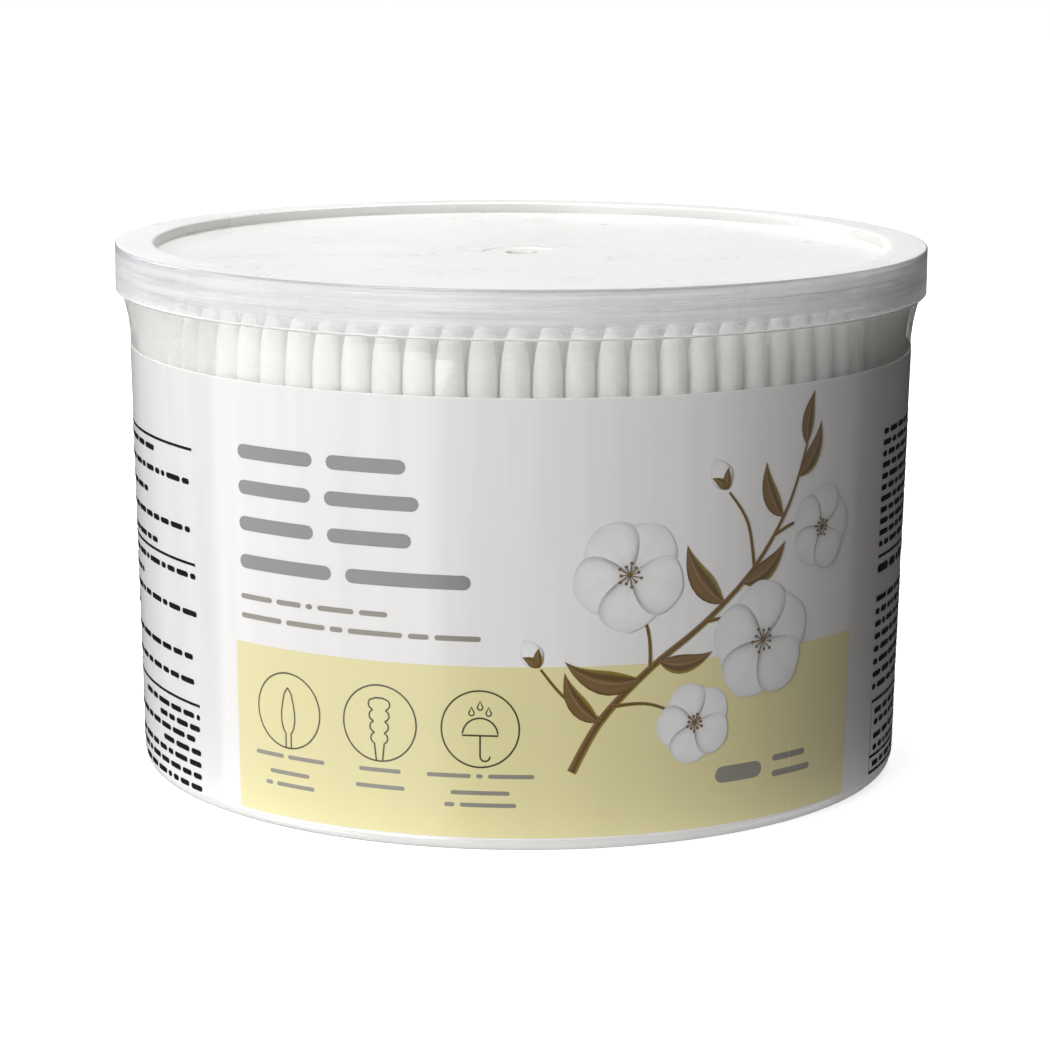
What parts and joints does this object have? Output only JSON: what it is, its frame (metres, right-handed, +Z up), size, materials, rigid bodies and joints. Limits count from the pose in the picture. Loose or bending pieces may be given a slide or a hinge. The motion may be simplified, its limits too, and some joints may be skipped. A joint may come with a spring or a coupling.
{
  "type": "cotton swab tub",
  "caption": "Round clear plastic tub with a press-on lid and a wrapped label, packed with two-ended cotton swabs that stand on end.",
  "frame": {"origin": "centre of the base, on the surface that the tub stands on", "axes": "+Z up through the lid, -Y out of the front of the label, +X to the right as the front is faced"},
  "size_m": [0.1318, 0.1318, 0.0855],
  "materials": {
    "tub_plastic": "clear moulded polypropylene, slightly hazy",
    "lid_plastic": "frosted moulded polypropylene, satin",
    "label_film": "printed white film, satin",
    "bamboo": "plain cut bamboo",
    "cotton": "wound cotton, matt"
  },
  "bodies": {
    "tub": {"tub": "tub_plastic", "label": "label_film", "sticks_ring_01": "bamboo", "sticks_ring_02": "bamboo", "sticks_ring_03": "bamboo", "sticks_ring_04": "bamboo", "sticks_ring_05": "bamboo", "sticks_ring_06": "bamboo", "sticks_ring_07": "bamboo", "sticks_ring_08": "bamboo", "sticks_ring_09": "bamboo", "sticks_ring_10": "bamboo", "sticks_ring_11": "bamboo", "sticks_ring_12": "bamboo", "pointed_tips_ring_01": "cotton", "pointed_tips_ring_02": "cotton", "pointed_tips_ring_03": "cotton", "pointed_tips_ring_04": "cotton", "pointed_tips_ring_05": "cotton", "pointed_tips_ring_06": "cotton", "pointed_tips_ring_07": "cotton", "pointed_tips_ring_08": "cotton", "pointed_tips_ring_09": "cotton", "pointed_tips_ring_10": "cotton", "pointed_tips_ring_11": "cotton", "pointed_tips_ring_12": "cotton", "spiral_tips_ring_01": "cotton", "spiral_tips_ring_02": "cotton", "spiral_tips_ring_03": "cotton", "spiral_tips_ring_04": "cotton", "spiral_tips_ring_05": "cotton", "spiral_tips_ring_06": "cotton", "spiral_tips_ring_07": "cotton", "spiral_tips_ring_08": "cotton", "spiral_tips_ring_09": "cotton", "spiral_tips_ring_10": "cotton", "spiral_tips_ring_11": "cotton", "spiral_tips_ring_12": "cotton"},
    "lid": {"lid": "lid_plastic"}
  },
  "joints": [
    {"name": "lid_lift", "type": "slide", "parent": "tub", "child": "lid", "axis": [0, 0, 1], "range_m": [0, 0.06]}
  ]
}
